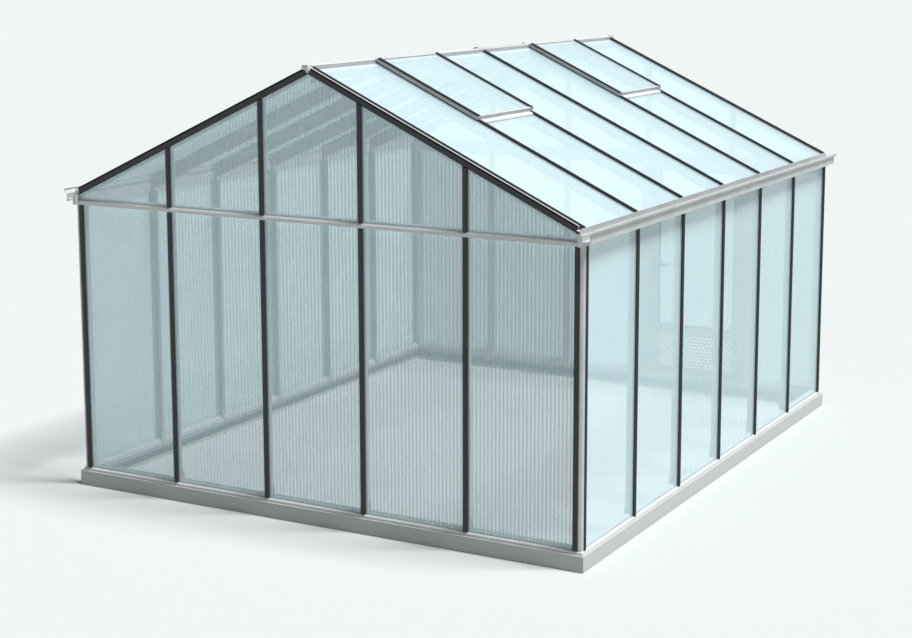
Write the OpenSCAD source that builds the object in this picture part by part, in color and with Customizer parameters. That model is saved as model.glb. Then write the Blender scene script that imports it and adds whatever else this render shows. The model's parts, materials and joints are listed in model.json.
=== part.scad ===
// Gable-roofed greenhouse: aluminium frame, twin-wall sheets held by black gaskets,
// three hinged roof vents and one door in the front gable.
// X runs across the gables, +Y towards the back gable, the origin is on the ground under the middle.

/* [Building] */
// Distance between neighbouring glazing bars
bay = 740; // [600:10:900]
// Number of bays across each gable
bays_across = 5; // [5:2:7]
// Number of bays along each side
bays_along = 6; // [4:2:8]
// Distance from the last bar line to the outside of the wall
corner_run = 50; // [50:1:80]
// Height at which the roof's outer face meets the wall's outer face
eave_h = 2062; // [1900:1:2400]
// Roof pitch in degrees
pitch = 25; // [20:1:30]

/* [Base] */
// Height of the plinth
plinth_h = 102; // [60:1:200]
// How far the plinth stands out from the wall
plinth_out = 20; // [5:1:40]
// Depth of the plinth section
plinth_d = 75; // [60:1:120]
// Wall of the plinth section
plinth_wall = 4; // [3:0.5:6]
// Height of the sill above the plinth
sill_h = 32; // [28:1:45]

/* [Sheets and gaskets] */
// Thickness of the sheets
sheet_t = 10; // [8:1:12]
// Width of the gaskets
gasket_w = 36; // [28:1:44]
// Height of the gaskets above the sheets
gasket_t = 8; // [5:1:10]
// How far the crown of the wall and gable gaskets rises above that
gasket_crown = 7; // [2:1:9]

/* [Glazing bars] */
// Thickness of the extruded webs and flanges
web_t = 4; // [3:0.5:6]
// Width of the flange that the sheets rest on
flange_w = 50; // [44:1:60]
// Depth of the wall bars behind the sheets
wall_bar_d = 44; // [30:1:60]
// Depth of the rafters behind the sheets
rafter_d = 76; // [60:1:90]

/* [Rails and gutter] */
// Height of the gable rail
rail_h = 44; // [40:1:60]
// Level of the gable rail's underside below the eave
rail_drop = 102; // [90:1:120]
// Height of the eave beam
eave_beam_h = 70; // [60:1:80]
// Depth of the eave beam behind the wall's outer face
beam_in = 30; // [28:1:40]
// How far the gutter stands out from the wall
gutter_out = 51; // [40:1:80]
// How far the gutter runs past each gable
gutter_run = 27; // [26:1:80]
// Wall of the gutter section
gutter_wall = 3; // [2:0.5:4]

/* [Roof vents] */
// Length of the vents down the slope
vent_l = 830; // [600:10:1100]
// Height of the vent frames above the roof gaskets
vent_h = 30; // [24:1:40]
// Width of the vent rails
vent_rail = 48; // [44:1:60]

/* [Door] */
// Distance between the centres of the door posts
door_bay = 898; // [800:1:1000]
// Width of the door posts
post_w = 74; // [60:1:90]
// Thickness of the door leaf
leaf_t = 28; // [24:1:34]
// Width of the leaf's stiles and top rail
stile_w = 64; // [50:1:80]
// Height of the kick panel's top above the ground
kick_top = 540; // [300:10:900]
// Gap around the leaf
leaf_gap = 12; // [8:1:13]
// Height of the handle's spindle above the ground
handle_z = 1050; // [900:10:1200]

/* [Hidden] */

width = bays_across * bay + 2 * corner_run;
length = bays_along * bay + 2 * corner_run;
half_w = width / 2;
half_l = length / 2;
slope = tan(pitch);
ridge_h = eave_h + slope * half_w;

fit = 0.3;      // clearance between separate pieces that meet
seat = 0.2;     // clearance of a sheet between its gasket and its flange
slot = 1.5;     // side clearance of a sheet in its bars
beyond = 100;   // how far a cutting body reaches past what it cuts

// Depths behind the outer face of a wall or a roof slope.
sheet_face = gasket_t + seat;
sheet_back = sheet_face + sheet_t;
flange_face = sheet_back + seat;
flange_back = flange_face + web_t;
bar_back = flange_face + wall_bar_d;
rafter_back = flange_face + rafter_d;
lip_t = 3;              // thickness of the thin lips on rails, sills and channels
lip_back = sheet_face - seat;       // inner side of an outer lip
bead_r = 1.5;           // radius of the bead along an outer lip
channel_w = 20;         // bolt channel along a bar's inner edge
channel_d = 14;
bolt_slot = 8;
fillet = 4;             // between a bar's web and its flange
gasket_edge = 2;        // how far a gasket's edges lie below its flat height
plinth_r = 3;           // radius of the plinth's outer edges

sill_top = plinth_h + sill_h;
sill_lip = sill_h - 9;  // height of the sill's outer lip
sill_out = 4;           // how far the lip stands out past the gaskets' edges
upstand_h = 15;         // upstand on the sill behind the sheets
notch = 6;              // half width of its notch at each bar
rail_out = 6;
rail_lip = 30;          // height of the rail's outer lip
rail_z = eave_h - rail_drop;
rail_top = rail_z + rail_h;
rail_lip_top = rail_z + rail_lip;
tuck = 12;              // how far a sheet reaches into a rail, sill or door frame

corner_r = 26;          // radius of the corner post's nose
post_in = corner_run + 12;  // side of the corner post, from the wall's outer face

beam_z = rail_z;
beam_top = beam_z + eave_beam_h;
gutter_z = beam_z + 22;
gutter_side = 50;       // height of the gutter's outer wall
gutter_drip = 8;        // drip edge of that wall, below the gutter's floor
lip_out = 22;           // how far the gutter's lip stands out beyond its wall
lip_rise = 18;          // height of the slope from the wall to the lip
lip_h = 15;             // height of the gutter's lip
lip_bead = 2.5;         // radius of the bead along the lip
gutter_top = gutter_z + gutter_side + lip_rise + lip_h;
end_cut = 24;           // corner taken off the back wall at each end of the gutter
edge_gap = 2;           // gap between the roof sheets and the gutter's back wall
back_out = 15;          // gutter's back wall, behind the wall's outer face
back_top = eave_h + slope * back_out - edge_gap;
eave_x = half_w - back_out - edge_gap;      // where the roof sheets end
eave_s = eave_x / cos(pitch);
seat_s = 14;            // width of the seat that the sheets' lower ends rest on

cap_s = 26;             // half width of the ridge cap along the slope
cap_h = 4;              // how far the ridge cap stands above the gaskets
ridge_web = 110;        // depth of the ridge beam below the apex
hook_r = 5;             // bead that the vents hang on, on either side of the ridge
hook_s = cap_s - hook_r - lip_t;
hook_n = cap_h + hook_r;
rafter_s0 = (channel_w / 2 + fit + rafter_back * sin(pitch)) / cos(pitch);
sheet_s0 = 14;          // where the roof sheets begin below the apex

verge_face = 9;         // height of the verge's nose above the gable gasket
verge_t = 12;           // thickness of the verge's tube
verge_d = 30;           // depth of the tube below the roof's outer face
verge_leg = 36;         // leg behind the gable sheets, below the tube
verge_flange = 25;      // flange under the roof sheets
verge_v = gasket_t + verge_t;       // depth of the verge's inner face behind the gable
verge_x = (eave_s - seat_s) * cos(pitch) - flange_back * sin(pitch) - 2 * fit;

cap_out = 32;           // how far the ridge's end cap stands out from the gable
cap_w = 44;             // width of the end cap
cap_top = 8;            // top of the end cap above the apex
cap_low = 21;           // underside of the end cap below the apex
apex_w = 50;            // plate between the verge gaskets under the apex
apex_low_w = 16;
apex_low = 44;          // lower edge of the plate below the apex
apex_out = 2;           // how far the plate stands out from the gable

rear_vent_y = (bays_along / 2 - 1.5) * bay;
front_vent_y = -rear_vent_y;
right_vent_y = -bay / 2;
vent_w = bay + vent_rail;
vent_s0 = cap_s + 2;
vent_s1 = vent_s0 + vent_l;
vent_top = vent_h - sheet_face;     // outer face of the vents' sheets
vent_floor = vent_h - sheet_back - seat;
vent_edge = gasket_w / 2;           // upstand beside a vent's sheet
vent_wall = 4;          // wall at a vent's upper and lower end
vent_lip = 16;          // lip over a sheet's end
vent_end = 30;          // width of a vent's upper and lower rail
vent_gap = 4;           // from a vent's lower edge to the sheet below it
apron = 34;             // length of the flashing below a vent
apron_under = 24;       // its flange under the sheet

door_x0 = -bay / 2;             // centre line of the inner door post
door_x1 = door_x0 - door_bay;   // centre line of the outer door post
opening_x0 = door_x0 - post_w / 2;
opening_x1 = door_x1 + post_w / 2;
leaf_x0 = opening_x0 - leaf_gap;
leaf_x1 = opening_x1 + leaf_gap;
leaf_z0 = sill_top + 6;
leaf_z1 = rail_z - 8;
bottom_rail = 40;
mid_rail = 34;
top_rail = 94;
panel_edge = 30;                // flat edge round the kick panel's raised field
panel_raise = 3;
stop_gap = 6;                   // from the leaf to the stop behind it
stop_in = leaf_t + stop_gap;    // outer face of the stop, from the wall's outer face
stop_lap = 4;                   // how far the stop reaches behind the leaf
header_low = 56;                // header's underside below the rail's
header_h = 90;
header_d = 36;
hinge_r = 8;
pin_r = 4;
pin_gap = 0.05;
pin_end = 4;                    // from the pin's end to the end of its bore
hinge_out = 14;                 // hinge axis in front of the leaf
hinge_x = (leaf_x1 + opening_x1) / 2;
hinge_half = 40;                // height of one half of a hinge
hinge_low = 200;                // lowest hinge above the leaf's lower edge
hinge_high = 240;               // top hinge below the leaf's upper edge
hinge_zs = [leaf_z0 + hinge_low, (leaf_z0 + leaf_z1) / 2, leaf_z1 - hinge_high];
hinge_post_w = 18;              // width of the hinge's plate on the post
hinge_leaf_w = 40;              // and on the leaf
plate_w = 36;                   // handle's back plate
plate_h = 150;
plate_t = 6;
spindle_out = 24;
spindle_r = 8;
lever_r = 8;
lever_l = 110;

gable_bars_x = [for (i = [1 : bays_across - 1]) (i - bays_across / 2) * bay];
front_bars_x = [for (x = gable_bars_x) if (x > door_x0 + 1) x];
side_bars_y = [for (i = [1 : bays_along - 1]) (i - bays_along / 2) * bay];
gable_end = half_w - beam_in + web_t / 2;
gable_edges = concat([-gable_end], gable_bars_x, [gable_end]);
side_end = half_l - corner_r + web_t / 2;
side_edges = concat([-side_end], side_bars_y, [side_end]);
roof_end = half_l - verge_v + web_t / 2;
roof_edges = concat([-roof_end], side_bars_y, [roof_end]);

silver = [0.75, 0.76, 0.77];
plinth_grey = [0.66, 0.66, 0.67];
black = [0.14, 0.14, 0.15];
sheet_blue = [0.78, 0.9, 0.93, 0.5];

// Places a wall drawn with u along it and +Y pointing outwards from its outer face.
module on_back() { translate([0, half_l, 0]) children(); }
module on_front() { translate([0, -half_l, 0]) mirror([0, 1, 0]) children(); }
module on_left() { translate([-half_w, 0, 0]) rotate([0, 0, 90]) children(); }
module on_right() { mirror([1, 0, 0]) on_left() children(); }

// Places a slope drawn with X down it from the apex, Y along the building and Z outwards.
module on_right_slope() { translate([0, 0, ridge_h]) rotate([0, pitch, 0]) children(); }
module on_left_slope() { mirror([1, 0, 0]) on_right_slope() children(); }

// A box from its lowest to its highest corner.
module block(lo, hi) { translate(lo) cube(hi - lo); }

// Everything under a line parallel to the roof, lowered by d at right angles to it.
module under_roof(d) {
    top = ridge_h - d / cos(pitch);
    reach = half_w + beyond;
    rotate([90, 0, 0]) linear_extrude(height = 4 * reach + length, center = true)
        polygon([[-reach, 0], [reach, 0], [reach, top - slope * reach], [0, top],
                 [-reach, top - slope * reach]]);
}

// ---- extruded sections ----

// Bolt channel along the inner edge of a bar, its open side at the depth "back".
module bolt_channel(back) {
    difference() {
        translate([-channel_w / 2, -back]) square([channel_w, channel_d]);
        translate([-channel_w / 2 + lip_t, -back + lip_t])
            square([channel_w - 2 * lip_t, channel_d - 2 * lip_t]);
        translate([-bolt_slot / 2, -back - 1]) square([bolt_slot, lip_t + 2]);
    }
}

// Section of a glazing bar, drawn behind the outer face: a spine between the sheets, the
// flange that they rest on, a web with fillets and the bolt channel.
module bar_section(depth) {
    back = flange_face + depth;
    translate([-web_t / 2, channel_d - back - 1])
        square([web_t, back - channel_d - sheet_face + 1]);
    translate([-flange_w / 2, -flange_back]) square([flange_w, web_t]);
    for (side = [0, 1]) mirror([side, 0]) translate([web_t / 2, -flange_back])
        polygon([[-1, 1], [fillet, 1], [fillet, 0], [0, -fillet], [-1, -fillet]]);
    bolt_channel(back);
}

// Section of a gasket: a strip whose outer side is an arc that rises to "crown" in the middle.
module gasket_section(crown) {
    rise = gasket_edge + crown;
    r = (pow(gasket_w / 2, 2) + pow(rise, 2)) / (2 * rise);
    intersection() {
        translate([0, crown - r]) circle(r, $fn = 96);
        translate([-gasket_w / 2, -gasket_t]) square([gasket_w, gasket_t + crown]);
    }
}

// Section of the plinth: a channel open to the inside. x runs inwards from its outer face.
module plinth_section() {
    difference() {
        union() {
            translate([plinth_r, 0]) square([plinth_d - plinth_r, plinth_h]);
            translate([0, plinth_r]) square([plinth_d, plinth_h - 2 * plinth_r]);
            for (z = [plinth_r, plinth_h - plinth_r]) translate([plinth_r, z]) circle(plinth_r, $fn = 32);
        }
        translate([plinth_wall, plinth_wall]) square([plinth_d - 2 * plinth_wall, plinth_h - 2 * plinth_wall]);
        translate([plinth_d - plinth_wall - 1, plinth_h / 4]) square([plinth_wall + 2, plinth_h / 2]);
    }
}

// Outer lip of a sill or rail: a face with a bead and a weather edge sloping at 45 degrees.
// x runs inwards.
module outer_lip(top, out) {
    edge_z = top - out - lip_back + lip_t;
    polygon([[lip_back, 0], [-out, 0], [-out, edge_z], [lip_back - lip_t, top], [lip_back, top]]);
    translate([-out, edge_z / 2]) circle(bead_r, $fn = 24);
}

// Section of the sill: a trough for the sheets with a hollow box behind it.
module sill_section() {
    outer_lip(sill_lip, sill_out);
    translate([lip_back - 1, 0]) square([bar_back - lip_back + 1, web_t]);
    translate([flange_face, 0]) square([web_t, sill_h]);
    translate([bar_back - web_t, 0]) square([web_t, sill_h]);
    translate([flange_face, sill_h - web_t]) square([bar_back - flange_face, web_t]);
}

// ---- base ----

// One side of a mitred frame: its section reaches from "out" in front of the wall's outer face
// to "in" behind it, with x running inwards.
module mitred_side(run, out, in, h) {
    intersection() {
        rotate([90, 0, 90]) linear_extrude(height = run + 2 * out, center = true)
            mirror([1, 0]) children();
        linear_extrude(height = h)
            polygon([[-run / 2 - out + fit, out], [run / 2 + out - fit, out],
                     [run / 2 - in - fit, -in], [-run / 2 + in + fit, -in]]);
    }
}

module plinth_side(run) {
    mitred_side(run, plinth_out, plinth_d - plinth_out, plinth_h)
        translate([-plinth_out, 0]) plinth_section();
}

module back_plinth() { color(plinth_grey) on_back() plinth_side(width); }
module front_plinth() { color(plinth_grey) on_front() plinth_side(width); }
module left_plinth() { color(plinth_grey) on_left() plinth_side(length); }
module right_plinth() { color(plinth_grey) on_right() plinth_side(length); }

// One sill with its upstand behind the sheets, cut away round the bars and the door posts.
module sill(run, bars, posts) {
    reach = run / 2 - post_in - fit;
    post_cut = post_w / 2 + leaf_gap + stop_lap + fit;
    translate([0, 0, plinth_h]) mitred_side(run, sill_out + bead_r, bar_back, sill_h) sill_section();
    difference() {
        block([-reach, -stop_in - lip_t, sill_top - 1], [reach, -stop_in, sill_top + upstand_h]);
        for (u = bars) block([u - notch, -bar_back, sill_top], [u + notch, 0, sill_top + upstand_h + 1]);
        for (u = posts) block([u - post_cut, -bar_back, sill_top], [u + post_cut, 0, sill_top + upstand_h + 1]);
    }
}

module sills() {
    color(silver) {
        on_back() sill(width, gable_bars_x, []);
        on_front() sill(width, front_bars_x, [door_x0, door_x1]);
        on_left() sill(length, side_bars_y, []);
        on_right() sill(length, side_bars_y, []);
    }
}

// ---- posts and bars ----

// Corner post in plan, its corner at the origin and the building towards +X and +Y.
// A round nose, a flange behind the sheets of either wall and a square tube inside.
module corner_section() {
    nose = corner_r;
    inside = nose - web_t;
    difference() {
        intersection() {
            translate([nose, nose]) circle(nose, $fn = 64);
            square(nose);
        }
        translate([nose, nose]) circle(inside, $fn = 64);
    }
    translate([inside, 0]) square([web_t, flange_back]);
    translate([0, inside]) square([flange_back, web_t]);
    translate([inside, flange_face]) square([post_in - inside, web_t]);
    translate([flange_face, inside]) square([web_t, post_in - inside]);
    difference() {
        translate([flange_face, flange_face]) square(post_in - flange_face);
        translate([flange_back, flange_back]) square(post_in - flange_back - web_t);
    }
}

// The post stands on the sills, and its nose reaches down over them to their lips.
module corner_post() {
    foot = gasket_z0;
    seat_z = sill_top + fit;
    translate([0, 0, seat_z]) linear_extrude(height = beam_z - fit - seat_z) corner_section();
    translate([0, 0, foot]) linear_extrude(height = seat_z - foot + 1) intersection() {
        corner_section();
        union() {
            square([post_in, flange_face - fit]);
            square([flange_face - fit, post_in]);
        }
    }
}

module corner_posts() {
    color(silver)
        for (sx = [0, 1], sy = [0, 1]) mirror([sx, 0, 0]) mirror([0, sy, 0])
            translate([-half_w, -half_l, 0]) corner_post();
}

module wall_bars(lines, z0, z1) {
    for (u = lines) translate([u, 0, z0]) linear_extrude(height = z1 - z0) bar_section(wall_bar_d);
}

bar_z0 = sill_top + fit;
gasket_z0 = plinth_h + sill_lip + fit;
module back_wall_bars() { color(silver) on_back() wall_bars(gable_bars_x, bar_z0, rail_z - fit); }
module front_wall_bars() {
    color(silver) on_front() wall_bars(front_bars_x, bar_z0, rail_z - fit);
}
module left_wall_bars() { color(silver) on_left() wall_bars(side_bars_y, bar_z0, beam_z - fit); }
module right_wall_bars() { color(silver) on_right() wall_bars(side_bars_y, bar_z0, beam_z - fit); }

module gable_bars() {
    intersection() {
        wall_bars(gable_bars_x, rail_top + fit, ridge_h);
        under_roof(verge_d + verge_leg + fit);
    }
}
module back_gable_bars() { color(silver) on_back() gable_bars(); }
module front_gable_bars() { color(silver) on_front() gable_bars(); }

// ---- gable rails ----

// Section of the rail: an H that holds the sheets below and above it. x runs inwards.
module rail_section() {
    outer_lip(rail_lip, rail_out);
    difference() {
        union() {
            translate([lip_back - 1, 0]) square([flange_back - lip_back, rail_lip - tuck]);
            translate([flange_face, 0]) square([bar_back - flange_face, rail_h]);
        }
        translate([lip_back, -1]) square([sheet_t + 2 * seat, tuck + 1]);
        translate([flange_back, web_t]) square([bar_back - flange_back - web_t, rail_h - 2 * web_t]);
    }
}

module cross_rail() {
    translate([0, 0, rail_z]) rotate([90, 0, 90])
        linear_extrude(height = width - 2 * beam_in - 2 * fit, center = true)
            mirror([1, 0]) rail_section();
}
module back_cross_rail() { color(silver) on_back() cross_rail(); }
module front_cross_rail() { color(silver) on_front() cross_rail(); }

// Deep beam behind the front rail that the door closes against.
module front_header() {
    reach = half_w - beam_in - fit;
    face = -bar_back - fit;
    z0 = rail_z - header_low;
    color(silver) on_front() difference() {
        block([-reach, face - header_d, z0], [reach, face, z0 + header_h]);
        block([-reach - 1, face - header_d + web_t, z0 + web_t],
              [reach + 1, face - web_t, z0 + header_h - web_t]);
    }
}

// ---- eaves ----

// Section of the eave beam and gutter in one piece. x runs outwards from the wall's outer face.
module gutter_section() {
    t = gutter_wall;
    lip_x = gutter_out + lip_out;
    side_z = gutter_z + gutter_side;
    lip_z = side_z + lip_rise;
    bead_z = gutter_top - lip_bead;
    step = t * (sqrt(pow(lip_out, 2) + pow(lip_rise, 2)) - lip_rise) / lip_out;
    difference() {
        translate([-beam_in, beam_z]) square([beam_in, eave_beam_h]);
        translate([-sheet_back - seat, beam_z - 1]) square([sheet_t + 2 * seat, tuck + 1]);
        translate([-beam_in + t, beam_z + tuck + t])
            square([beam_in - 2 * t, eave_beam_h - tuck - 2 * t]);
    }
    translate([-back_out, beam_top - t]) square([t, back_top - beam_top + t]);
    translate([-half_w, ridge_h]) rotate(-pitch)
        translate([eave_s - seat_s, -flange_back]) square([seat_s + 1, web_t]);
    translate([-t, gutter_z + gutter_drip]) square([gutter_out, t]);
    polygon([[gutter_out, gutter_z], [gutter_out, side_z], [lip_x, lip_z], [lip_x, bead_z],
             [lip_x - t, bead_z], [lip_x - t, lip_z + step], [gutter_out - t, side_z + step],
             [gutter_out - t, gutter_z]]);
    translate([lip_x - lip_bead, gutter_top - lip_bead]) circle(lip_bead, $fn = 32);
}

// The gutter runs past the gables with open ends, its back wall cut off at an angle there.
module gutter() {
    end_y = half_l + gutter_run;
    difference() {
        rotate([90, 0, 0]) linear_extrude(height = 2 * end_y, center = true)
            translate([half_w, 0]) gutter_section();
        for (sy = [0, 1]) mirror([0, sy, 0])
            translate([half_w - beam_in - 1, 0, 0]) rotate([90, 0, 90])
                linear_extrude(height = beam_in)
                    polygon([[end_y - end_cut, back_top], [end_y + 1, back_top - end_cut - 1],
                             [end_y + 1, back_top + end_cut], [end_y - end_cut, back_top + end_cut]]);
    }
}
module right_gutter() { color(silver) gutter(); }
module left_gutter() { color(silver) mirror([1, 0, 0]) gutter(); }

// ---- roof ----

// Upper part of the ridge's section: a cap over the sheets with a bead on either side for
// the vents to hang on.
module ridge_cap_section() {
    for (side = [0, 1]) mirror([side, 0]) translate([0, ridge_h]) rotate(-pitch) {
        translate([0, -gasket_t]) square([cap_s, gasket_t + cap_h]);
        translate([hook_s - web_t / 2, 0]) square([web_t, hook_n]);
        translate([hook_s, hook_n]) circle(hook_r, $fn = 32);
    }
}

// Lower part: two flanges under the sheets, a web and a bolt channel.
module ridge_web_section() {
    for (side = [0, 1]) mirror([side, 0]) translate([0, ridge_h]) rotate(-pitch)
        translate([flange_back * slope, -flange_back])
            square([rafter_s0 - fit - flange_back * slope, web_t]);
    translate([0, ridge_h]) {
        translate([-web_t / 2, channel_d - ridge_web - 1]) square([web_t, ridge_web - channel_d + 1]);
        bolt_channel(ridge_web);
    }
}

// The cap runs on to the verges, the rest ends before their flanges.
module ridge_beam() {
    cap_l = length - 2 * (verge_v + fit);
    color(silver) rotate([90, 0, 0]) {
        linear_extrude(height = cap_l, center = true) ridge_cap_section();
        linear_extrude(height = cap_l - 2 * verge_flange, center = true) ridge_web_section();
    }
}

// Outline of the plate between the verge gaskets, grown by "grow" at its sides and foot.
module apex_outline(grow) {
    polygon([[-apex_low_w / 2 - grow, ridge_h - apex_low - grow],
             [apex_low_w / 2 + grow, ridge_h - apex_low - grow],
             [apex_w / 2 + grow, ridge_h - cap_low], [apex_w / 2 + grow, ridge_h + cap_top],
             [-apex_w / 2 - grow, ridge_h + cap_top], [-apex_w / 2 - grow, ridge_h - cap_low]]);
}

// A plate under the apex and, in front of it, the open end of the ridge's box.
module ridge_end_caps() {
    color(silver) for (sy = [0, 1]) mirror([0, sy, 0]) {
        intersection() {
            translate([0, half_l + apex_out, 0]) rotate([90, 0, 0])
                linear_extrude(height = gasket_t + apex_out) apex_outline(0);
            under_roof(verge_face + fit);
        }
        difference() {
            block([-cap_w / 2, half_l + fit, ridge_h - cap_low],
                  [cap_w / 2, half_l + cap_out, ridge_h + cap_top]);
            block([-cap_w / 2 + lip_t, half_l + fit + lip_t, ridge_h - cap_low + lip_t],
                  [cap_w / 2 - lip_t, half_l + cap_out + 1, ridge_h + cap_top - lip_t]);
        }
    }
}

// One rafter, drawn down the slope. Its lower end is coped to pass under the eave's seat.
module rafter(y) {
    translate([0, y, 0]) difference() {
        rotate([90, 0, 90]) translate([0, 0, rafter_s0])
            linear_extrude(height = eave_s - rafter_s0) bar_section(rafter_d);
        block([eave_s - seat_s - fit, -flange_w, -flange_back - fit], [eave_s + 1, flange_w, 0]);
    }
}

module left_rafters() {
    color(silver) on_left_slope() for (y = side_bars_y) rafter(y);
}
module right_rafters() {
    color(silver) on_right_slope() for (y = side_bars_y) rafter(y);
}

// Half space on the right of the middle, short of the gutter, that squares off the verge.
module verge_limit() {
    block([fit / 2, -half_l - 1, 0], [verge_x, half_l + 1, ridge_h + beyond]);
}

// Verge section over each gable: a tube, a nose in front of it that stands on the gable
// gasket, a leg behind the gable sheets and a flange under the roof sheets.
module verge_section() {
    tube = verge_t - seat;
    difference() {
        translate([-verge_v, -verge_d]) square([tube, verge_d]);
        translate([-verge_v + lip_t, -verge_d + lip_t]) square([tube - 2 * lip_t, verge_d - 2 * lip_t]);
    }
    translate([-sheet_face - 1, -verge_face]) square([sheet_face + 1, verge_face]);
    translate([-flange_back, -verge_d - verge_leg]) square([web_t, verge_d + verge_leg - flange_face]);
    translate([-verge_v - verge_flange, -flange_back]) square([verge_flange + 1, web_t]);
}

module verge() {
    intersection() {
        on_right_slope() translate([-beyond, half_l, 0]) rotate([90, 0, 90])
            linear_extrude(height = eave_s + beyond) verge_section();
        verge_limit();
    }
}
module gable_rafters() {
    color(silver) for (sx = [0, 1], sy = [0, 1]) mirror([sx, 0, 0]) mirror([0, sy, 0]) verge();
}

// ---- sheets ----

module flat_sheet(u0, u1, z0, z1) { block([u0, -sheet_back, z0], [u1, -sheet_face, z1]); }

module wall_sheets(edges, z1) {
    for (i = [0 : len(edges) - 2])
        flat_sheet(edges[i] + web_t / 2 + slot, edges[i + 1] - web_t / 2 - slot,
                   plinth_h + web_t + fit, z1 + tuck - fit);
}

module back_wall_sheets() { color(sheet_blue) on_back() wall_sheets(gable_edges, rail_z); }
module front_wall_sheets() {
    color(sheet_blue) on_front() {
        wall_sheets([-gable_end, door_x1], rail_z);
        wall_sheets(concat([door_x0], front_bars_x, [gable_end]), rail_z);
    }
}
module left_wall_sheets() { color(sheet_blue) on_left() wall_sheets(side_edges, beam_z); }
module right_wall_sheets() { color(sheet_blue) on_right() wall_sheets(side_edges, beam_z); }

module gable_sheets() {
    intersection() {
        for (i = [0 : len(gable_edges) - 2])
            flat_sheet(gable_edges[i] + web_t / 2 + slot, gable_edges[i + 1] - web_t / 2 - slot,
                       rail_lip_top - tuck + fit, ridge_h);
        under_roof(verge_d + fit);
    }
}
module back_gable_sheets() { color(sheet_blue) on_back() gable_sheets(); }
module front_gable_sheets() { color(sheet_blue) on_front() gable_sheets(); }

module roof_sheets(vents) {
    for (i = [0 : len(roof_edges) - 2]) {
        mid = (roof_edges[i] + roof_edges[i + 1]) / 2;
        near = [for (v = vents) if (abs(v - mid) < bay / 4) v];
        s0 = len(near) > 0 ? vent_s1 + vent_gap : sheet_s0;
        block([s0, roof_edges[i] + web_t / 2 + slot, -sheet_back],
              [eave_s, roof_edges[i + 1] - web_t / 2 - slot, -sheet_face]);
    }
}
module left_roof_sheets() { color(sheet_blue) on_left_slope() roof_sheets([rear_vent_y, front_vent_y]); }
module right_roof_sheets() { color(sheet_blue) on_right_slope() roof_sheets([right_vent_y]); }

// ---- gaskets ----

module upright_gasket(u, z0, z1) {
    translate([u, 0, z0]) linear_extrude(height = z1 - z0) gasket_section(gasket_crown);
}

module wall_gaskets() {
    edge = corner_r + gasket_w / 2 + 1;
    color(black) {
        for (u = concat([-half_w + edge], gable_bars_x, [half_w - edge]))
            on_back() upright_gasket(u, gasket_z0, rail_z - fit);
        for (u = concat([-half_w + edge, door_x1, door_x0], front_bars_x, [half_w - edge]))
            on_front() upright_gasket(u, gasket_z0, rail_z - fit);
        for (u = concat([-half_l + edge], side_bars_y, [half_l - edge])) {
            on_left() upright_gasket(u, gasket_z0, beam_z - fit);
            on_right() upright_gasket(u, gasket_z0, beam_z - fit);
        }
    }
}

// The gasket under the verge's nose, on the right half of a gable.
module verge_gasket() {
    intersection() {
        on_right_slope() translate([-beyond, 0, -verge_face - fit - gasket_w / 2])
            rotate([90, 0, 90]) linear_extrude(height = eave_s + beyond)
                rotate(-90) gasket_section(gasket_crown);
        block([fit / 2, -gasket_t - 1, rail_z], [verge_x, gasket_crown + 1, ridge_h]);
    }
}

module gable_gasket_set() {
    intersection() {
        for (u = gable_bars_x) upright_gasket(u, rail_lip_top + fit, ridge_h);
        under_roof(verge_face + gasket_w + 2 * fit);
    }
    difference() {
        for (sx = [0, 1]) mirror([sx, 0, 0]) verge_gasket();
        translate([0, beyond, 0]) rotate([90, 0, 0]) linear_extrude(height = 2 * beyond) apex_outline(fit);
    }
}
module gable_gaskets() {
    color(black) {
        on_back() gable_gasket_set();
        on_front() gable_gasket_set();
    }
}

module slope_gaskets() {
    edge = half_l - verge_v - fit - gasket_w / 2;
    for (y = concat([-edge], side_bars_y, [edge]))
        translate([cap_s + fit, y, 0]) rotate([90, 0, 90])
            linear_extrude(height = eave_s - cap_s - fit) gasket_section(0);
}
module roof_gaskets() {
    color(black) {
        on_left_slope() slope_gaskets();
        on_right_slope() slope_gaskets();
    }
}

// ---- roof vents ----

module at_vents() {
    on_left_slope() translate([0, rear_vent_y, 0]) children();
    on_left_slope() translate([0, front_vent_y, 0]) children();
    on_right_slope() translate([0, right_vent_y, 0]) children();
}

// Flashing below a vent: an apron over the sheet, and a channel that closes the sheet's end.
module vent_sills() {
    wide = bay / 2 - gasket_w / 2 - fit;
    narrow = bay / 2 - flange_w / 2 - fit;
    s0 = vent_s1 + vent_gap - lip_t - fit;
    color(silver) at_vents() {
        rotate([90, 0, 0]) linear_extrude(height = 2 * wide, center = true)
            polygon([[s0, -lip_back], [vent_s1 + apron, -lip_back], [vent_s1 + apron, -lip_back + lip_t],
                     [vent_s1 + apron - lip_back, 0], [s0, 0]]);
        block([s0, -narrow, -flange_face - lip_t], [s0 + lip_t, narrow, -lip_back + 1]);
        block([s0, -narrow, -flange_face - lip_t], [s0 + apron_under, narrow, -flange_face]);
    }
}

// Section of the hook that hangs on the ridge's bead, its arm reaching down the slope.
module vent_hook_section() {
    r = hook_r + fit;
    difference() {
        union() {
            circle(r + lip_t, $fn = 48);
            square([vent_s0 + 1 - hook_s, r + lip_t]);
        }
        circle(r, $fn = 48);
        translate([-r - lip_t - 1, -r - lip_t - 1]) square([2 * (r + lip_t + 1), r + lip_t + 1]);
    }
}

// Lip over the sheet at a vent's end, drawn from the end wall towards +X.
module vent_end_lip() {
    half = vent_w / 2 - gasket_w - fit;
    block([0, -half, vent_top - 1], [vent_wall, half, vent_top + seat + lip_t]);
    block([0, -half, vent_top + seat], [vent_lip, half, vent_top + seat + lip_t]);
}

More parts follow.
